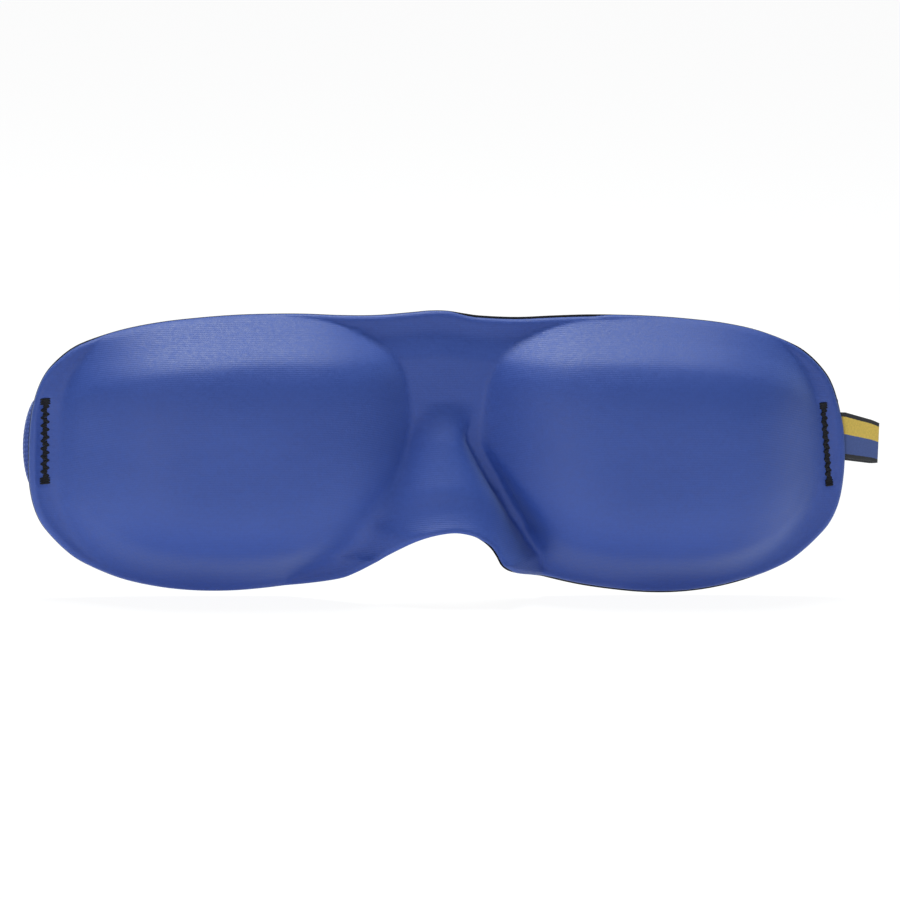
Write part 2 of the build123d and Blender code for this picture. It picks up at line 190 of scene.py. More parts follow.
# ------------------------------------------------------------------ outline
def make_outline():
    """Closed Catmull-Rom curve through both sides, relaxed and evenly spaced."""
    knots = np.array(RIGHT_SIDE + [(-x, z) for x, z in reversed(LEFT_SIDE)], float)
    p0, p1, p2, p3 = (np.roll(knots, shift, 0)[:, None] for shift in (1, 0, -1, -2))
    t = (np.arange(SPLINE_STEPS) / SPLINE_STEPS)[None, :, None]
    curve = 0.5 * ((2 * p1) + (-p0 + p2) * t
                   + (2 * p0 - 5 * p1 + 4 * p2 - p3) * t * t
                   + (-p0 + 3 * p1 - 3 * p2 + p3) * t ** 3)
    curve = curve.reshape(-1, 2)
    for _ in range(RELAX_ROUNDS):
        curve = 0.5 * curve + 0.25 * (np.roll(curve, 1, 0) + np.roll(curve, -1, 0))
    closed = np.vstack([curve, curve[:1]])
    lengths = path_lengths(closed)
    count = int(round(lengths[-1] / OUTLINE_STEP))
    return points_at(closed, lengths, np.linspace(0, lengths[-1], count, endpoint=False))


OUTLINE = make_outline()


def inward_normals():
    tangent = np.roll(OUTLINE, -2, 0) - np.roll(OUTLINE, 2, 0)
    tangent /= np.linalg.norm(tangent, axis=1)[:, None]
    return np.stack([tangent[:, 1], -tangent[:, 0]], 1)     # the outline runs clockwise


def edge_distance(x, z, chunk=4000):
    """Distance to the outline, positive inside it. Chunks keep the arrays small."""
    start, end = OUTLINE, np.roll(OUTLINE, -1, axis=0)
    side = end - start
    side_sq = (side ** 2).sum(1)
    result = np.empty(len(x))
    for k in range(0, len(x), chunk):
        px, pz = x[k:k + chunk, None], z[k:k + chunk, None]
        dx, dz = px - start[:, 0], pz - start[:, 1]
        t = np.clip((dx * side[:, 0] + dz * side[:, 1]) / side_sq, 0, 1)
        nearest = np.hypot(dx - t * side[:, 0], dz - t * side[:, 1]).min(1)
        crossed = ((start[:, 1] > pz) != (end[:, 1] > pz)) & (
            px < side[:, 0] * dz / (side[:, 1] + 1e-12) + start[:, 0])
        result[k:k + chunk] = np.where(crossed.sum(1) % 2 == 1, nearest, -nearest)
    return result


# ------------------------------------------------------------------ mask surface
def dome(x, z):
    """Forward bulge of the two domes, each a superellipse in plan."""
    away = np.abs(x)
    upper = smooth((z - 2.0) / 22.0)
    outer = smooth((away - 40.0) / 40.0)
    across = np.abs(away - DOME_X) / DOME_HALF_W
    along = np.abs(z) / DOME_HALF_H
    # squarer outboard, and at the top on the side nearer the middle
    power = 2.2 + 0.7 * outer + DOME_SQUARE * upper * smooth((DOME_X - away) / 26.0)
    radius = (across ** power + along ** power) ** (1.0 / power)
    # a larger foot spreads the base more softly
    foot = DOME_FOOT + 0.40 * (1.0 - upper) + 0.15 * outer
    return DOME_DEPTH * np.clip(1.0 - radius ** DOME_POWER, 0.0, None) ** foot


def ridge(x, z):
    """The nose ridge: a broad flare to the left, a steep flank to the right."""
    down = np.clip((RIDGE_Z - z) / RIDGE_RUN, 0.0, 1.25)
    begun = smooth(down / 0.35)
    right = smooth((x + 3.0) / 6.0)
    height = RIDGE_TOP * begun + RIDGE_DEPTH * down ** 1.3
    # the left side drops away near the bottom
    height = height * (1.0 - 0.3 * (1.0 - right) * smooth((down - 0.98) / 0.27))
    left_width = 8.0 + 9.0 * down + 16.0 * down * down
    right_width = 8.5 - 5.0 * begun + 40.0 * smooth(down / 2.0)
    across = np.abs(x) / (left_width + (right_width - left_width) * right)
    # crest: roundness of the top; foot: softness of the base
    low = smooth((down - 0.72) / 0.45)
    right_begun = right * smooth(down / 0.3)
    crest = 1.9 + 0.9 * right_begun
    foot = 1.2 - 0.25 * right_begun + (0.1 + 0.55 * right) * low
    return height * np.clip(1.0 - across ** crest, 0.0, None) ** foot


def crease(x, z):
    """Depth of the fold that runs down the right of the nose."""
    down = (8.0 - z) / 33.0
    centre = 5.4 + 0.655 * (7.4 - z)
    width = 1.2 + 2.0 * np.clip(down, 0, 1)
    fade = smooth(down / 0.45) * smooth((1.12 - down) / 0.35)
    return CREASE_DEPTH * fade * bell((x - centre) * 0.85, width)


def depth(x, z):
    """Domes and ridge blended, with a tighter blend on the right, less the crease."""
    domes, nose = dome(x, z), ridge(x, z)
    power = 3.3 + 0.9 * np.tanh(x / 4.0)
    blended = (domes ** power + nose ** power) ** (1.0 / power)
    return np.maximum(blended - crease(x, z), 0.0)


def waves(x, z, height, length, seed):
    """Seven crossed sine waves of random direction, length and phase."""
    random = np.random.default_rng(seed)
    total = np.zeros_like(x)
    for _ in range(7):
        heading = random.uniform(0, TAU)
        rate = TAU / (length * random.uniform(0.7, 1.6))
        run = x * math.cos(heading) + z * math.sin(heading)
        total += np.sin(rate * run + random.uniform(0, 6.28))
    return height * total / 7 * 1.8


def column_x(column, up):
    """Middle of a stitch column at a height above the strap's middle."""
    return column.x + column.lean * up / STITCH_LEN


def stitch_relief(x, z):
    up = z - STRAP_Z
    relief = np.zeros_like(x)
    for column in COLUMNS:
        out = (x - column_x(column, up)) * column.side      # positive outboard
        pucker = np.cos(TAU * up / STITCH_PITCH)
        relief += smooth((STITCH_LEN / 2 + 1.3 - np.abs(up)) / 2.6) * (
            -0.75 * bell(out, 1.55)                         # groove
            + 0.10 * pucker * bell(np.abs(out) - 1.6, 0.9)  # along both its sides
            + column.swell * bell(out - 3.1, 1.0)           # outboard swell
            + 0.22 * bell(out + 3.6, 1.8)                   # inboard swell
            + 0.07 * np.cos(TAU * out / 0.95) * smooth((out - 1.6) / 1.0))
    return relief


def thickness(x, z, edge):
    body = RIM_T + (BODY_T - RIM_T) * smooth((edge - RIM_FLAT) / RIM_RAMP)
    low = 1.0 - smooth((z + 4.0) / 24.0)
    body = body - (0.03 + 0.08 * low) * bell(edge - 3.6, 1.3)      # pressed channel
    body = body + (0.04 + 0.10 * low) * bell(edge - 1.3, 0.8)      # rolled lip
    rounding = 0.42 + 0.58 * quarter_round(edge / RIM_ROUND)
    return body * rounding + stitch_relief(x, z) * smooth(edge / 0.8)


def front_y(x, z, edge):
    return (-depth(x, z) - thickness(x, z, edge)
            - waves(x, z, height=0.13, length=34.0, seed=3) * smooth((edge - 4) / 10)
            - waves(x, z, height=0.035, length=7.5, seed=5) * smooth((edge - 3) / 6))


def back_y(x, z, edge):
    return (-depth(x, z) - 0.28 * bell(edge - 3.9, 1.3)            # pressed channel
            + waves(x, z, height=0.10, length=30.0, seed=9) * smooth((edge - 5) / 10))


# ------------------------------------------------------------------ mesh tools
def make_object(name, verts, faces, uv=None):
    """Smooth-shaded object from millimetre points, with its normals turned outward."""
    mesh = bpy.data.meshes.new(name)
    mesh.from_pydata([tuple(v) for v in np.asarray(verts) * MM], [], faces)
    mesh.validate()
    mesh.update()
    if uv is not None:
        layer = mesh.uv_layers.new(name="UVMap")
        corners = np.empty(len(mesh.loops), int)
        mesh.loops.foreach_get("vertex_index", corners)
        layer.data.foreach_set("uv", np.asarray(uv, np.float32)[corners].ravel())
    obj = bpy.data.objects.new(name, mesh)
    bpy.context.scene.collection.objects.link(obj)
    bm = bmesh.new()
    bm.from_mesh(mesh)
    bmesh.ops.recalc_face_normals(bm, faces=bm.faces)
    bm.to_mesh(mesh)
    bm.free()
    for face in mesh.polygons:
        face.use_smooth = True
    return obj


def finish_piece(obj, material, body, slot, *nodes):
    """Material, the body it rides (if one), its slot (not used) and the CAD nodes it replaces.
    """
    obj.data.materials.append(material)
    if body:
        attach(obj, body)
    if nodes:
        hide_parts(*nodes)


def make_lattice():
    """Staggered rows of points that cover the whole mask."""
    columns = np.arange(-118, 118.1, LATTICE_STEP)
    rows = np.arange(-41, 42, LATTICE_STEP * 0.866)
    return np.vstack([
        np.stack([columns + (LATTICE_STEP / 2 if k % 2 else 0), np.full_like(columns, z)], 1)
        for k, z in enumerate(rows)])


def plan_mesh(inset):
    """Points and triangles inside the outline, drawn in by `inset` at each point."""
    count = len(OUTLINE)
    normals = inward_normals()
    points = []
    for ring in RINGS:
        points.extend((OUTLINE + normals * (inset[:, None] + ring)).tolist())
    faces = []
    last = (len(RINGS) - 1) * count
    for a in range(0, last, count):
        for i in range(count):
            j = (i + 1) % count
            faces.append((a + i, a + j, a + count + j))
            faces.append((a + i, a + count + j, a + count + i))

    lattice = make_lattice()
    room = edge_distance(lattice[:, 0], lattice[:, 1])
    lattice = lattice[room > RINGS[-1] + float(inset.max()) + 0.55]
    sources = [Vector(p) for p in points[last:] + lattice.tolist()]
    edges = [(i, (i + 1) % count) for i in range(count)]
    result = delaunay_2d_cdt(sources, edges, [list(range(count))], 1, 1e-6)
    new_points, triangles, origins = result[0], result[2], result[3]
    index = {}
    for k, point in enumerate(new_points):
        origin = origins[k][0] if origins[k] else count
        if origin < count:                  # a point of the last ring
            index[k] = last + origin
        else:
            index[k] = len(points)
            points.append([point.x, point.y])
    faces.extend(tuple(index[i] for i in f) for f in triangles if len(f) == 3)
    return np.array(points), faces


def layer_object(name, inset, front, back):
    """Closed layer between two surfaces, each a function of x, z and edge distance."""
    points, faces = plan_mesh(inset)
    x, z = points[:, 0], points[:, 1]
    count, total = len(OUTLINE), len(points)
    edge = np.maximum(edge_distance(x, z), 0.0)
    edge[:count * len(RINGS)] = np.repeat(RINGS, count)     # exact on the rings
    verts = np.vstack([np.stack([x, y(x, z, edge), z], 1) for y in (front, back)])
    faces = faces + [tuple(i + total for i in reversed(f)) for f in faces]
    for i in range(count):
        j = (i + 1) % count
        faces.append((i, j, j + total, i + total))
    return make_object(name, verts, faces)


def band_section(width, thick, across_count, turn_count):
    """Points (place across, side) round a band: outer face, edge, inner face, edge."""
    bulge = thick * 0.35
    flat = width / 2 - bulge
    across = np.linspace(-1, 1, across_count)
    turn = np.linspace(math.pi / 2, -math.pi / 2, turn_count + 2)[1:-1]
    back_turn = np.linspace(-math.pi / 2, math.pi / 2, turn_count + 2)[1:-1]
    return np.array([(k * flat, 1.0) for k in across]
                    + [(flat + bulge * math.cos(a), math.sin(a)) for a in turn]
                    + [(k * flat, -1.0) for k in across[::-1]]
                    + [(-flat - bulge * math.cos(a), math.sin(a)) for a in back_turn])


def band_cap(ids, across_count, turn_count):
    """End cap as strips across the band, plus a face at each rounded edge."""
    top = ids[:across_count]
    second = across_count + turn_count
    bottom = ids[second:second + across_count][::-1]
    strips = [(top[k], top[k + 1], bottom[k + 1], bottom[k]) for k in range(across_count - 1)]
    return strips + [
        (top[-1], *ids[across_count:second], bottom[-1]),
        (bottom[0], *ids[second + across_count:], top[0])]


def band_object(name, path, z_mid, width, thick, uv_start=0.0, rib=0.0, cross=0.0,
                across_count=44, turn_count=5, z_scale=1.0, x_shift=None):
    """A woven band: closed rounded section carried along a path in plan view.

    `rib` and `cross` are the relief of the lengthwise cords and the crosswise picks.
    """
    centre, tangent, distance = path
    section = band_section(width, thick, across_count, turn_count)
    across, side = section.T
    size, rows = len(section), len(centre)
    along = distance[:, None]
    cords = rib * np.cos(TAU * across / 1.25) * (np.abs(across) < width / 2 - 1.0)
    picks = cross * np.cos(TAU * along / 0.9)
    offset = side * (thick / 2 - rib * 0.5 - cross * 0.5 + cords * 0.5 + picks * 0.5)

    verts = np.empty((rows, size, 3))
    verts[..., 0] = centre[:, :1] - tangent[:, 1:] * offset
    verts[..., 1] = centre[:, 1:] + tangent[:, :1] * offset
    verts[..., 2] = np.reshape(z_mid, (-1, 1)) + across * np.reshape(z_scale, (-1, 1))
    if x_shift is not None:
        verts[..., 0] += x_shift(along, across)
    uv = np.empty((rows, size, 2))
    uv[..., 0] = (uv_start + along) * MM
    uv[..., 1] = across * MM

    faces = []
    for a in range(0, (rows - 1) * size, size):
        for k in range(size):
            j = (k + 1) % size
            faces.append((a + k, a + j, a + size + j, a + size + k))
    first = list(range(size))
    last = list(range((rows - 1) * size, rows * size))
    faces += band_cap(first, across_count, turn_count)
    faces += [f[::-1] for f in band_cap(last, across_count, turn_count)]
    return make_object(name, verts.reshape(-1, 3), faces, uv.reshape(-1, 2))


def tube_group(name, paths, radius, sides=7, taper=True):
    """Closed round tubes, one per path, with narrowed ends where they taper."""
    verts, faces = [], []
    for path in paths:
        points = np.asarray(path, float)
        tangents = np.gradient(points, axis=0)
        tangents /= np.linalg.norm(tangents, axis=1)[:, None] + 1e-12
        base, count = len(verts), len(points)
        for i, (point, tangent) in enumerate(zip(points, tangents)):
            a = np.cross(tangent, np.array([0.0, 1.0, 0.0]))
            if np.linalg.norm(a) < 1e-4:
                a = np.cross(tangent, np.array([0, 0, 1.0]))
            a /= np.linalg.norm(a)
            b = np.cross(tangent, a)
            from_end = min(i, count - 1 - i, 2)
            r = radius * (0.45, 0.85, 1.0)[from_end] if taper else radius
            for k in range(sides):
                angle = TAU * k / sides
                verts.append(point + r * (a * math.cos(angle) + b * math.sin(angle)))
        for row in range(base, base + (count - 1) * sides, sides):
            for k in range(sides):
                j = (k + 1) % sides
                faces.append((row + k, row + j, row + sides + j, row + sides + k))
        faces.append(tuple(base + k for k in reversed(range(sides))))
        faces.append(tuple(base + (count - 1) * sides + k for k in range(sides)))
    return make_object(name, np.array(verts), faces)


# ------------------------------------------------------------------ shader tools
class Signal:
    """A node output; arithmetic on it adds math nodes."""

    def __init__(self, socket):
        self.socket = socket

    def math(self, operation, *other):
        inputs = dict(enumerate((self, *other)))
        return add(self.socket.id_data, "ShaderNodeMath", inputs, operation=operation)

    def __add__(self, other):
        return self.math("ADD", other)

    def __sub__(self, other):
        return self.math("SUBTRACT", other)

    def __mul__(self, other):
        return self.math("MULTIPLY", other)

    def __gt__(self, other):
        return self.math("GREATER_THAN", other)

    def __abs__(self):
        return self.math("ABSOLUTE")

    def sine(self):
        return self.math("SINE")


def feed(node, inputs):
    """Link or set a node's inputs by name or number; colours are given as RGB."""
    for key, value in inputs.items():
        socket = node.inputs[key]
        if isinstance(value, Signal):
            node.id_data.links.new(value.socket, socket)
        elif socket.type == "RGBA":
            socket.default_value = (*value, 1)
        else:
            socket.default_value = value


def add(tree, kind, inputs, output=0, **settings):
    """Add a node and return one of its outputs."""
    node = tree.nodes.new(kind)
    for key, value in settings.items():
        setattr(node, key, value)
    feed(node, inputs)
    return Signal(node.outputs[output])


def new_material(name):
    """A material, its node tree and its Principled node."""
    material = bpy.data.materials.new(name)
    material.use_nodes = True
    tree = material.node_tree
    return material, tree, tree.nodes["Principled BSDF"]


def coordinates(tree, *names):
    node = tree.nodes.new("ShaderNodeTexCoord")
    return [Signal(node.outputs[name]) for name in names]


def split(tree, vector):
    node = tree.nodes.new("ShaderNodeSeparateXYZ")
    feed(node, {0: vector})
    return [Signal(socket) for socket in node.outputs]


def noise(vector, scale, detail=3.0, rough=0.55):
    return add(vector.socket.id_data, "ShaderNodeTexNoise",
               {"Scale": scale, "Detail": detail, "Roughness": rough, "Vector": vector})


def ramp(value, low, high, to_low=0.0, to_high=1.0):
    return add(value.socket.id_data, "ShaderNodeMapRange",
               {"From Min": low, "From Max": high, "To Min": to_low, "To Max": to_high,
                "Value": value})


def mix(tree, factor, a, b, blend="MIX"):
    return add(tree, "ShaderNodeMix", {0: factor, 6: a, 7: b}, output=2,
               data_type="RGBA", blend_type=blend)


def dress(surface, color, height, strength, distance, values):
    """Colour, bump and the other surface values."""
    bump = add(surface.id_data, "ShaderNodeBump",
               {"Strength": strength, "Distance": distance, "Height": height})
    feed(surface, {"Base Color": color, "Normal": bump, **values})


# ------------------------------------------------------------------ materials
# The factors in a sum of patterns are each pattern's share of the height or tone.
def knit_material(name, base, light, dark, pitch, strength, tint, rough=0.88, specular=0.22):
    """Fine jersey knit: offset rows of loops, with fibre noise and slow mottling."""
    material, tree, surface = new_material(name)
    place, = coordinates(tree, "Object")
    x, _, z = split(tree, place)
    wobble = (noise(place, 260.0, 2.0) - 0.5) * 2.4
    column = x * (TAU / pitch) + wobble
    row = z * (TAU / (pitch * 0.8)) + wobble
    wale = column.sine()
    # the loops of a row lean one way, then the other
    course = (row + abs(wale) * 1.9).sine()
    loops = abs(wale) * 0.55 + course * 0.45
    fibre = noise(place, 2600.0, 4.0, 0.7)
    fine = noise(place, 900.0, 3.0, 0.65)
    slow = noise(place, 34.0, 3.0, 0.5)
    height = loops * 0.22 + fine * 0.5 + fibre * 0.25
    tone = loops * 0.10 + (fine * 0.75 + slow * 0.45)
    color = mix(tree, 0.45, mix(tree, ramp(tone, 0.35, 1.0), dark, light), base)
    dress(surface, color, height, strength=strength, distance=0.00022, values={
        "Roughness": ramp(fine, 0.3, 0.7, rough - 0.07, rough + 0.06),
        "Specular IOR Level": specular, "Sheen Weight": 0.25,
        "Sheen Roughness": 0.42, "Sheen Tint": tint})
    return material


def band_material(name, light, dark, tint):
    """Ribbed woven elastic, by the band's own length and width."""
    material, tree, surface = new_material(name)
    band, place = coordinates(tree, "UV", "Object")
    along, across, _ = split(tree, band)
    pick_phase = along * (TAU / 0.0009)
    cord = (across * (TAU / 0.00125)).math("COSINE")
    pick = (pick_phase + cord * 0.8).sine()
    weave = pick * (cord * 0.5 + 0.75)
    fibre = noise(place, 1800.0, 4.0, 0.7)
    slow = noise(place, 60.0, 2.0)
    height = weave * 0.3 + (cord * 0.35 + fibre * 0.5)
    tone = height * 0.35 + slow * 0.5
    color = mix(tree, ramp(tone, 0.0, 0.75), dark, light)
    dress(surface, color, height, strength=0.7, distance=0.00025, values={
        "Roughness": 0.8, "Specular IOR Level": 0.3, "Sheen Weight": 0.4,
        "Sheen Roughness": 0.4, "Sheen Tint": tint})
    return material


def thread_material(name, dark, light):
    """Twisted thread: slanted waves with a little noise."""
    material, tree, surface = new_material(name)
    place, = coordinates(tree, "Object")
    slanted = add(tree, "ShaderNodeMapping", {"Rotation": (0.5, 0.6, 0.7), "Vector": place})
    twist = add(tree, "ShaderNodeTexWave",
                {"Scale": 900.0, "Distortion": 2.0, "Vector": slanted}, output=1)
    fibre = noise(place, 3000.0)
    tone = twist * 0.6 + fibre * 0.4
    dress(surface, mix(tree, tone, dark, light), tone, strength=0.6, distance=0.0001,
          values={"Roughness": 0.62, "Specular IOR Level": 0.2, "Sheen Weight": 0.08})
    return material


def pile_material(name, dark, light, scale, strength):
    """Speckled pile: fine tufts over broader patches."""
    material, tree, surface = new_material(name)
    place, = coordinates(tree, "Object")
    tufts = noise(place, scale, 5.0, 0.75)
    patches = noise(place, scale * 0.22, 3.0)
    tone = tufts * 0.7 + patches * 0.4
    color = mix(tree, ramp(tone, 0.35, 0.75), dark, light)
    dress(surface, color, tone, strength=strength, distance=0.0003,
          values={"Roughness": 0.85, "Sheen Weight": 0.5, "Sheen Roughness": 0.5})
    return material


def foam_material(name, dark, light):
    """Open-celled foam."""
    material, tree, surface = new_material(name)
    place, = coordinates(tree, "Object")
    cells = add(tree, "ShaderNodeTexVoronoi", {"Scale": 1400.0, "Vector": place},
                output="Distance")
    tone = cells * 0.8 + noise(place, 300.0) * 0.4
    dress(surface, mix(tree, tone, dark, light), tone, strength=0.8, distance=0.0003,
          values={"Roughness": 0.95})
    return material


def label_material(name, lower, upper, border):
    """Woven ribbon with plain lengthwise stripes: border, two fields, border."""
    thread_pitch, field_split, border_start = 0.00035, 0.0003, 0.0051
    material, tree, surface = new_material(name)
    ribbon, place = coordinates(tree, "UV", "Object")
    along, across, _ = split(tree, ribbon)
    ragged = across + (noise(ribbon, 1500.0, 2.0) - 0.5) * 0.0002
    is_upper = ragged > field_split
    is_border = abs(ragged) > border_start
    weft = (along * (TAU / thread_pitch)).sine()
    warp = (across * (TAU / thread_pitch)).sine()
    weave = weft * warp
    fibre = noise(place, 2200.0, 3.0)
    color = mix(tree, is_border, mix(tree, is_upper, lower, upper), border)
    shade = ramp(weave * 0.25 + fibre, 0.1, 1.0, 0.72, 1.12)
    grey = add(tree, "ShaderNodeCombineColor", {0: shade, 1: shade, 2: shade})
    color = mix(tree, 1.0, color, grey, "MULTIPLY")
    dress(surface, color, weave + fibre, strength=0.5, distance=0.0001,
          values={"Roughness": 0.6, "Sheen Weight": 0.25})
    return material


COVER = knit_material(
    "cover_knit_blue", base=(0.021, 0.064, 0.335), light=(0.039, 0.098, 0.42),
    dark=(0.011, 0.040, 0.235), pitch=0.00062, strength=0.5, tint=(0.55, 0.70, 1.0),
    rough=0.60, specular=0.6)
LINING = knit_material(
    "lining_black", base=(0.012, 0.012, 0.015), light=(0.022, 0.022, 0.027),
    dark=(0.006, 0.006, 0.008), pitch=0.0005, strength=0.4, tint=(0.7, 0.75, 0.9))
FOAM = foam_material("foam_grey", dark=(0.012, 0.012, 0.014), light=(0.05, 0.05, 0.055))
BAND = band_material("band_blue", light=(0.072, 0.122, 0.43), dark=(0.024, 0.046, 0.22),
                     tint=(0.62, 0.74, 1.0))
BLACK_THREAD = thread_material("thread_black", dark=(0.004, 0.004, 0.006),
                               light=(0.014, 0.014, 0.019))
BLUE_THREAD = thread_material("thread_dark_blue", dark=(0.010, 0.016, 0.06),
                              light=(0.03, 0.05, 0.17))
HOOK = pile_material("hook_tape_black", dark=(0.006, 0.006, 0.009),
                     light=(0.030, 0.030, 0.038), scale=1500.0, strength=0.4)
PILE = pile_material("loop_tape_black", dark=(0.008, 0.008, 0.012),
                     light=(0.055, 0.055, 0.07), scale=1300.0, strength=1.0)
LABEL = label_material("label_stripes", lower=(0.055, 0.10, 0.32),
                       upper=(0.80, 0.56, 0.09), border=(0.013, 0.013, 0.018))


# ------------------------------------------------------------------ mask body
def cover_inset():
    """The lining's dark edge shows past the cover in some stretches of the rim."""
    x, z = OUTLINE.T
    return (0.10 + 0.5 * window(x, 0.0, 48.0, 7.0) * (z > 0)
            + 0.34 * smooth((x - 98.0) / 8.0) * smooth((z - 8.0) / 8.0)
            + 0.40 * window(x, 26.0, 96.0, 8.0) * (z < 0)
            + 0.38 * window(x, 7.0, 18.0, 3.0) * (z < 0)
            + 0.18 * window(-x, 96.0, 114.0, 5.0) * smooth((z - 10.0) / 6.0))


def foam_front(x, z, edge):
    """Just behind the cover, but always at least a little in front of the lining."""
    edge = edge + FOAM_INSET
    return np.minimum(front_y(x, z, edge) + COVER_T + FOAM_GAP,
                      back_y(x, z, edge) - LINING_T - 0.3)


def build_mask():
    cover = layer_object("outer_cover_knit", cover_inset(), front_y,
                         lambda x, z, edge: front_y(x, z, edge) + COVER_T)
    foam = layer_object(
        "foam_core_moulded", np.full(len(OUTLINE), FOAM_INSET), foam_front,
        lambda x, z, edge: back_y(x, z, edge + FOAM_INSET) - LINING_T - FOAM_GAP)
    # the lining thins towards its edge
    lining = layer_object(
        "lining_knit", np.zeros(len(OUTLINE)),
        lambda x, z, edge: back_y(x, z, edge) - LINING_T * (0.55 + 0.45 * smooth(edge / 0.7)),
        lambda x, z, edge: back_y(x, z, edge) - 0.12 * (1 - smooth(edge / 0.7)))
    finish_piece(cover, COVER, "mask", "cover_knit", "outer_cover")
    finish_piece(foam, FOAM, "mask", "foam", "foam_core")
    finish_piece(lining, LINING, "mask", "lining_knit", "lining")


# ------------------------------------------------------------------ strap and tab
def folded_path(start_x, turn_x, y, radius, side, fold_end, arc):
    """Straight along the mask's back, round a fold, then along an arc."""
    straight = np.stack([np.linspace(start_x, turn_x - 0.01, 40), np.full(40, y)], 1)
    a = np.radians(np.linspace(-90, fold_end, 40))
    fold = np.stack([turn_x + side * radius * np.cos(a), y + radius + radius * np.sin(a)], 1)
    return resample(np.vstack([straight, fold, arc]), BAND_STEP)


def strap_shift(along, across):
    """Shift in x near the left fold, which bows outward in the middle of its width."""
    bow = np.maximum(0.0, 1.0 - ((along - 18.4) / 6.0) ** 2) ** 2
    inward = 3.2 * smooth((along - 18.0) / 6.0) * smooth((62.0 - along) / 36.0)
    return inward - bow * (3.1 * np.clip(1 - (across / 12.5) ** 2, 0, 1) ** 0.7 - 3.3)


# Strap pieces from the sewn end to the tip. Each ends at a seam angle (the last at the tip)
# and lists two bodies, the CAD nodes it replaces, and two places in plan.
StrapPiece = namedtuple("StrapPiece", "name seam bodies nodes start end")
STRAP_PIECES = (
    StrapPiece("band_sewn_end_and_left", 145.0, ("mask", "strap_a"),
               ("strap_root_left", "strap_link_left"), (-118.6, 3.0), (-117.4, 12.0)),
    StrapPiece("band_middle", 105.0, ("strap_a", "strap_b"), ("strap_link_middle",),
               polar(LOOP_R, 125.0 + 8), polar(LOOP_R, 125.0 - 8)),
    StrapPiece("band_right", 70.0, ("strap_b", "strap_c"), ("strap_link_right",),
               polar(LOOP_R, 85.0 + 8), polar(LOOP_R, 85.0 - 8)),
    StrapPiece("band_tip", None, ("strap_c", "tip"), ("strap_tip",),
               polar(LOOP_R, 68.0), polar(LOOP_R, 50.5)),
)


def build_strap():
    fold_end = 180 - STRAP_START
    turn_x = polar(LOOP_R, STRAP_START)[0] + FOLD_R_LEFT * math.cos(math.radians(fold_end))
    arc = polar(LOOP_R, np.linspace(STRAP_START - 0.05, STRAP_TIP, 600))
    centre, tangent, distance = folded_path(
        -101.0, turn_x, LEFT_BAND_Y, FOLD_R_LEFT, -1, fold_end, arc)
    angle = np.degrees(np.arctan2(centre[:, 1] - LOOP_Y, centre[:, 0] - LOOP_X))
    past_fold = distance > 22.0
    # the band sits lower just past the fold, and narrows slightly at the tip
    z_mid = STRAP_Z - 1.5 * smooth((distance - 12.5) / 5.5) * smooth((60.0 - distance) / 38.0)
    narrowing = 1.0 - 0.10 * np.clip(1 - (distance[-1] - distance) / 3.0, 0, 1) ** 2
    first = 0
    for piece in STRAP_PIECES:
        if piece.seam is None:
            last = len(centre) - 1
        else:
            last = int(np.argmax(past_fold & (angle <= piece.seam)))
        part = slice(first, last + 1)
        obj = band_object(
            piece.name, (centre[part], tangent[part], distance[part]), z_mid[part],
            STRAP_W, STRAP_T, rib=0.07, cross=0.05, z_scale=narrowing[part],
            x_shift=strap_shift if first == 0 else None)
        finish_piece(obj, BAND, None, "strap_band", *piece.nodes)
        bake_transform(obj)
        first = last


def build_tab():
    """Sewn end, tight fold and the curved tab."""
    fold_end = TAB_START - 0.14
    turn_x = polar(TAB_R, fold_end)[0] - FOLD_R_RIGHT * math.cos(math.radians(TAB_START))
    arc = polar(TAB_R, np.linspace(TAB_START, TAB_END, 200))
    path = folded_path(100.0, turn_x, RIGHT_BAND_Y, FOLD_R_RIGHT, 1, fold_end, arc)
    obj = band_object("tab_band", path, STRAP_Z, STRAP_W, STRAP_T, uv_start=400.0,
                      rib=0.07, cross=0.05)
    finish_piece(obj, BAND, None, "strap_band", "strap_root_right", "strap_tab")
    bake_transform(obj)


# ------------------------------------------------------------------ hook and loop
HOOK_FACE_R = LOOP_R - HALF_T - 0.02    # inner face of the strap's tip
LOOP_FACE_R = TAB_R + HALF_T + 0.02     # outer face of the tab
FUZZ_SEED = 7
# one hook: (rise from the tape, reach along the arc)
HOOK_SHAPE = np.array([(0.0, 0.0), (0.25, 0.0), (0.42, 0.05), (0.50, 0.17), (0.46, 0.28)])


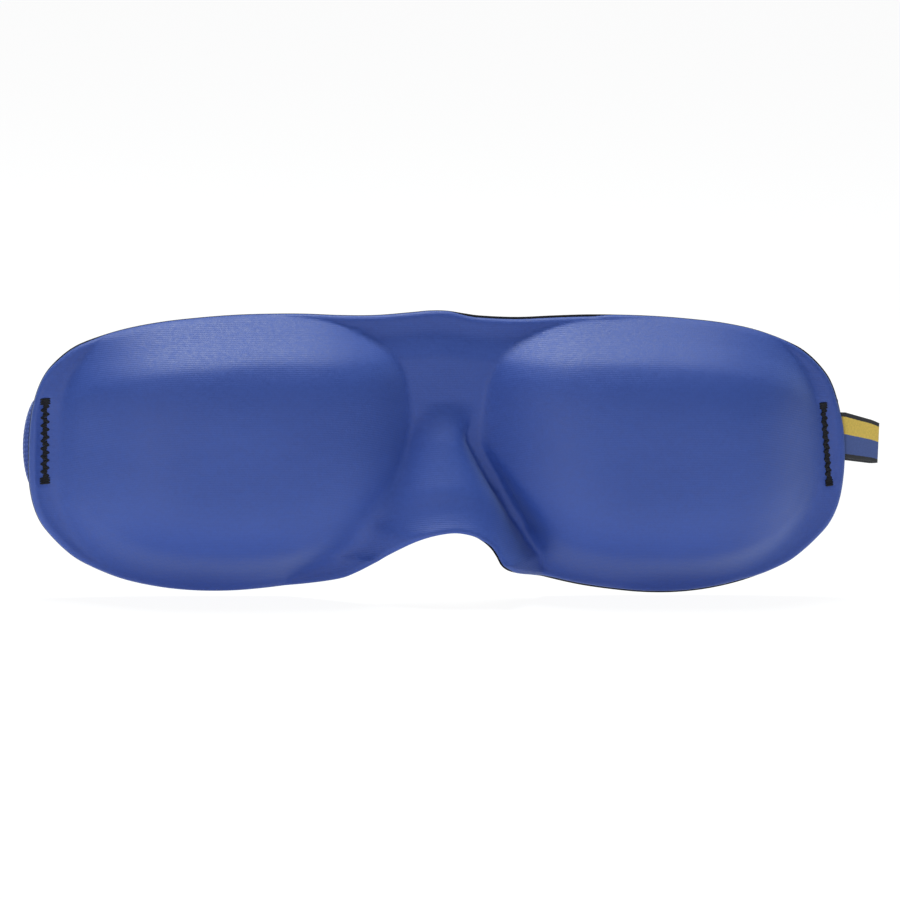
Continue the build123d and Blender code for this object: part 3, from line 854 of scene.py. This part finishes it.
def curved_tape(name, inner, outer, span, fuzz=0.0, along_count=150, across_count=70):
    """Curved tape between two radii with soft corners; fuzz roughens the outer face."""
    degrees, z = np.meshgrid(np.linspace(*span, along_count),
                             np.linspace(-TAPE_HALF_W, TAPE_HALF_W, across_count),
                             indexing="ij")
    from_end = np.minimum(degrees - span[0], span[1] - degrees) * math.radians(1) * outer
    soft = quarter_round(np.minimum(from_end, TAPE_HALF_W - np.abs(z)) / 0.35)
    middle = 0.5 * (inner + outer)
    outer_r = middle + (outer - middle) * (0.3 + 0.7 * soft)
    inner_r = middle + (inner - middle) * (0.3 + 0.7 * soft)
    if fuzz:
        tufts = np.random.default_rng(FUZZ_SEED).uniform(-1, 1, degrees.shape)
        outer_r = outer_r - fuzz * (0.5 + 0.5 * tufts) * soft
    verts = np.vstack([polar(r, degrees, z + STRAP_Z).reshape(-1, 3)
                       for r in (outer_r, inner_r)])
    total = along_count * across_count
    faces = []
    for i in range(along_count - 1):
        for j in range(across_count - 1):
            a = i * across_count + j
            quad = (a, a + 1, a + across_count + 1, a + across_count)
            faces.append(quad)
            faces.append(tuple(k + total for k in reversed(quad)))
    # rim between the two faces
    end, top = along_count - 1, across_count - 1
    rim = ([(i, 0) for i in range(along_count)] + [(end, j) for j in range(1, across_count)]
           + [(i, top) for i in range(end - 1, -1, -1)]
           + [(0, j) for j in range(top - 1, 0, -1)])
    rim = [i * across_count + j for i, j in rim]
    for a, b in zip(rim, rim[1:] + rim[:1]):
        faces.append((a, b, b + total, a + total))
    return make_object(name, verts, faces)


def hook_paths():
    """Rows of small hooks that face either way by turns."""
    paths = []
    rise, reach = HOOK_SHAPE.T
    radius = HOOK_FACE_R - 0.43 - rise
    for i, angle in enumerate(np.arange(HOOK_SPAN[0] + 0.7, HOOK_SPAN[1] - 0.6, 0.62)):
        for j, up in enumerate(np.arange(-9.6, 9.7, 1.15)):
            z = up + STRAP_Z + (0.55 if i % 2 else 0.0)
            facing = 1 if (i + j) % 2 else -1
            paths.append(polar(radius, angle + np.degrees(facing * reach / radius), z))
    return paths


def build_tapes():
    hook_tape = curved_tape("hook_tape", HOOK_FACE_R - 0.45, HOOK_FACE_R, HOOK_SPAN)
    finish_piece(hook_tape, HOOK, "tip", "hook_tape", "hook_patch")
    hooks = tube_group("hook_field", hook_paths(), 0.085, sides=5, taper=False)
    finish_piece(hooks, HOOK, "tip", "hook_tape")
    loop_tape = curved_tape("loop_tape", LOOP_FACE_R, LOOP_FACE_R + LOOP_T - 0.05, LOOP_SPAN,
                            fuzz=0.34, along_count=210, across_count=90)
    finish_piece(loop_tape, PILE, "tab", "loop_tape", "loop_patch")


# ------------------------------------------------------------------ tape stitching
TAPE_THREAD_R = 0.17
DASH_PITCH = 2.1 + 0.75                 # thread showing, then the gap
DASH_ARCH = np.array((0.0, 0.6, 0.95, 1.0, 0.95, 0.6, 0.0))


def tape_seam(radius, span, side):
    """Running stitches round a rectangle on a curved face; side 1 is outward."""
    start, end = span[0] + TAPE_SEAM, span[1] - TAPE_SEAM
    half = TAPE_SEAM_HALF_W
    corners = [(start, -half), (end, -half), (end, half), (start, half), (start, -half)]
    arched = radius + side * (0.20 * DASH_ARCH - 0.10)
    paths = []
    for (angle_a, z_a), (angle_b, z_b) in zip(corners[:-1], corners[1:]):
        length = abs(angle_b - angle_a) * math.radians(1) * radius + abs(z_b - z_a)
        count = int(round(length / DASH_PITCH))
        for k in range(count):
            t = np.linspace((k + 0.12) / count, (k + 0.88) / count, len(DASH_ARCH))
            paths.append(polar(arched, angle_a + (angle_b - angle_a) * t,
                               STRAP_Z + z_a + (z_b - z_a) * t))
    return paths


def tip_zigzag():
    """One zigzag across the outer face at the strap's tip."""
    up = np.linspace(-11.0, 11.0, 45)
    swing = np.where(np.arange(45) % 2, 0.22, -0.22)
    return [polar(LOOP_R + HALF_T + 0.10, STRAP_TIP + 0.85 + swing, STRAP_Z + up)]


def build_tape_stitching():
    for name, paths, body, node in (
            ("hook_tape_stitches", tape_seam(LOOP_R + HALF_T, HOOK_SPAN, 1),
             "tip", "hook_patch_stitching"),
            ("loop_tape_stitches", tape_seam(TAB_R - HALF_T, LOOP_SPAN, -1),
             "tab", "loop_patch_stitching"),
            ("tip_end_zigzag", tip_zigzag(), "tip", "tip_end_stitching")):
        finish_piece(tube_group(name, paths, TAPE_THREAD_R), BLUE_THREAD, body, "thread", node)


# ------------------------------------------------------------------ zigzag columns
def zigzag_paths(column, on_front):
    """Zigzag thread, centre line and bar tacks, laid on the front or the back."""
    paths = []
    half_len = STITCH_LEN / 2

    def lay(up, across, lift, z_shift=0.0):
        x, z = column_x(column, up) + across, up + STRAP_Z + z_shift
        if on_front:
            y = front_y(x, z, edge_distance(x, z)) - lift
        else:
            y = column.back_y + lift
        paths.append(np.stack([x, y, z], 1))

    count = int(round(STITCH_LEN / STITCH_PITCH)) * 2
    levels = np.linspace(half_len, -half_len, count + 1)
    t = np.linspace(0, 1, 9)
    arch = 0.02 + 0.20 * np.sin(np.pi * t) ** 0.6
    for k in range(count):
        side = 1 if k % 2 == 0 else -1
        lay(levels[k] + (levels[k + 1] - levels[k]) * t,
            column.half_width * (side - 2 * side * t), arch)

    # centre line: three rows of short locked stitches
    count = 18
    levels = np.linspace(half_len, -half_len, count + 1)
    t = np.linspace(0.02, 0.98, 7)
    arch = 0.05 + 0.16 * np.sin(np.pi * t) ** 0.5
    for k in range(count):
        for row in (-0.34, 0.0, 0.34):
            lay(levels[k] + (levels[k + 1] - levels[k]) * t + 0.3 * row,
                0.08 * np.sin(k * 2.1 + 3 * row) + row, arch)

    # bar tacks at both ends
    t = np.linspace(-1, 1, 9)
    arch = 0.03 + 0.2 * np.sqrt(np.clip(1 - t * t, 0, 1))
    for end in (1, -1):
        for k in range(5):
            up = np.full(9, end * (half_len - 0.05 - 0.34 * k))
            lay(up, 1.15 * column.half_width * t, arch, z_shift=0.12 * t * (-1) ** k)
    return paths


def build_columns():
    for column in COLUMNS:
        front = tube_group(f"zigzag_{column.name}_front", zigzag_paths(column, True),
                           column.thread, sides=8)
        finish_piece(front, BLACK_THREAD, "mask", "thread", f"strap_stitch_{column.name}")
        back = tube_group(f"zigzag_{column.name}_back", zigzag_paths(column, False),
                          column.thread, sides=8)
        finish_piece(back, BLACK_THREAD, "mask", "thread")


# ------------------------------------------------------------------ side label
def build_label():
    """Ribbon folded back on itself past the mask's right end."""
    x = np.linspace(108.5, 127.6, 70)
    bow = 0.16 * np.sin(np.pi * np.clip((x - 117.5) / 10.5, 0, 1))
    front_run = np.stack([x, 0.22 - bow], 1)
    a = np.radians(np.linspace(-80, 80, 13))
    turn = np.stack([127.65 + 0.42 * np.cos(a), 0.55 + 0.33 * np.sin(a)], 1)
    back_run = np.stack([x[::-1], 0.88 + bow[::-1] * 0.9], 1)
    path = resample(np.vstack([front_run, turn, back_run]), 0.22)
    centre, _, distance = path
    # it droops and narrows outward, and the back run hangs a little lower
    outward = np.clip((centre[:, 0] - 117.8) / 10.0, 0, 1)
    past_turn = smooth((distance - distance[-1] / 2) / 6.0 + 0.5)
    obj = band_object("side_label_ribbon", path, z_mid=5.2 - 1.9 * outward - 0.75 * past_turn,
                      width=12.6, thick=0.28, z_scale=1.04 - 0.12 * outward,
                      across_count=30, turn_count=3)
    finish_piece(obj, LABEL, None, "label_ribbon", "label_root", "side_label")
    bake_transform(obj)


# ------------------------------------------------------------------ stage (metres)
def split_by_ray(tree, output, seen, unseen):
    """Show one shader to the camera and another to every other ray."""
    camera_ray = add(tree, "ShaderNodeLightPath", {}, output="Is Camera Ray")
    mixed = add(tree, "ShaderNodeMixShader", {0: camera_ray, 1: unseen, 2: seen})
    feed(tree.nodes[output], {"Surface": mixed})


def floor_material():
    """Pale with a soft contact shade to the eye; other rays meet a glowing grey."""
    material, tree, surface = new_material("floor_pale")
    feed(surface, {"Base Color": (0.92, 0.92, 0.92), "Roughness": 1.0,
                   "Specular IOR Level": 0.0})
    glow = add(tree, "ShaderNodeEmission", {"Color": (1, 1, 1), "Strength": 1.08})
    seen = add(tree, "ShaderNodeMixShader", {0: 0.87, 1: Signal(surface.outputs[0]), 2: glow})
    bounce = add(tree, "ShaderNodeBsdfDiffuse", {"Color": (0.80, 0.80, 0.80)})
    up_light = add(tree, "ShaderNodeEmission", {"Color": (0.95, 0.98, 1.0), "Strength": 0.40})
    unseen = add(tree, "ShaderNodeAddShader", {0: bounce, 1: up_light})
    split_by_ray(tree, "Material Output", seen, unseen)
    return material


def build_floor():
    z = CAD_BOX[0][2] - 0.0014
    mesh = bpy.data.meshes.new("floor")
    mesh.from_pydata([(-6, -6, z), (6, -6, z), (6, 8, z), (-6, 8, z)], [], [(0, 1, 2, 3)])
    floor = bpy.data.objects.new("floor", mesh)
    bpy.context.scene.collection.objects.link(floor)
    mesh.materials.append(floor_material())


def build_world():
    """White to the camera, a dim cool fill to everything else."""
    world = bpy.data.worlds.new("world")
    world.use_nodes = True
    tree = world.node_tree
    fill = tree.nodes["Background"]
    feed(fill, {"Color": (0.93, 0.96, 1.0), "Strength": 0.22})
    seen = add(tree, "ShaderNodeBackground", {"Color": (1, 1, 1), "Strength": 1.0})
    split_by_ray(tree, "World Output", seen, Signal(fill.outputs[0]))
    bpy.context.scene.world = world
    bpy.context.scene.view_settings.view_transform = "Standard"


def disk_light(name, location, size, power, color):
    """Round area light aimed at the origin."""
    light = bpy.data.lights.new(name, "AREA")
    light.shape = "DISK"
    light.size = size
    light.energy = power
    light.color = color
    obj = bpy.data.objects.new(name, light)
    obj.location = location
    obj.rotation_euler = (-Vector(location)).to_track_quat("-Z", "Y").to_euler()
    bpy.context.scene.collection.objects.link(obj)


def build_camera():
    """Long lens from in front, a little to the left and above, slightly rolled."""
    azimuth, elevation, roll = (math.radians(a) for a in (-13.0, 8.0, 2.05))
    distance = 1.7
    aim_right, aim_up = 0.002390999, 0.000562588    # aim point's offset from the origin
    camera = bpy.data.cameras.new("camera")
    camera.sensor_width = 36.0
    camera.lens = 241.74
    camera.clip_end = 50
    obj = bpy.data.objects.new("camera", camera)
    back = Vector((math.sin(azimuth) * math.cos(elevation),
                   -math.cos(azimuth) * math.cos(elevation), math.sin(elevation)))
    right = Vector((math.cos(azimuth), math.sin(azimuth), 0))
    obj.location = right * aim_right + back.cross(right) * aim_up + back * distance
    facing = (-back).to_track_quat("-Z", "Y")
    obj.rotation_euler = (facing @ Quaternion((0, 0, 1), roll)).to_euler()
    bpy.context.scene.collection.objects.link(obj)
    bpy.context.scene.camera = obj


# ------------------------------------------------------------------ build
build_mask()
build_strap()
build_tab()
build_tapes()
build_tape_stitching()
build_columns()
build_label()
build_floor()
build_world()
disk_light("top", location=(-0.06, 0.20, 1.12), size=0.50, power=14.0,
           color=(0.94, 1.0, 0.99))
disk_light("front", location=(-0.78, -1.60, 0.02), size=0.60, power=9.2,
           color=(0.99, 0.99, 1.0))
build_camera()
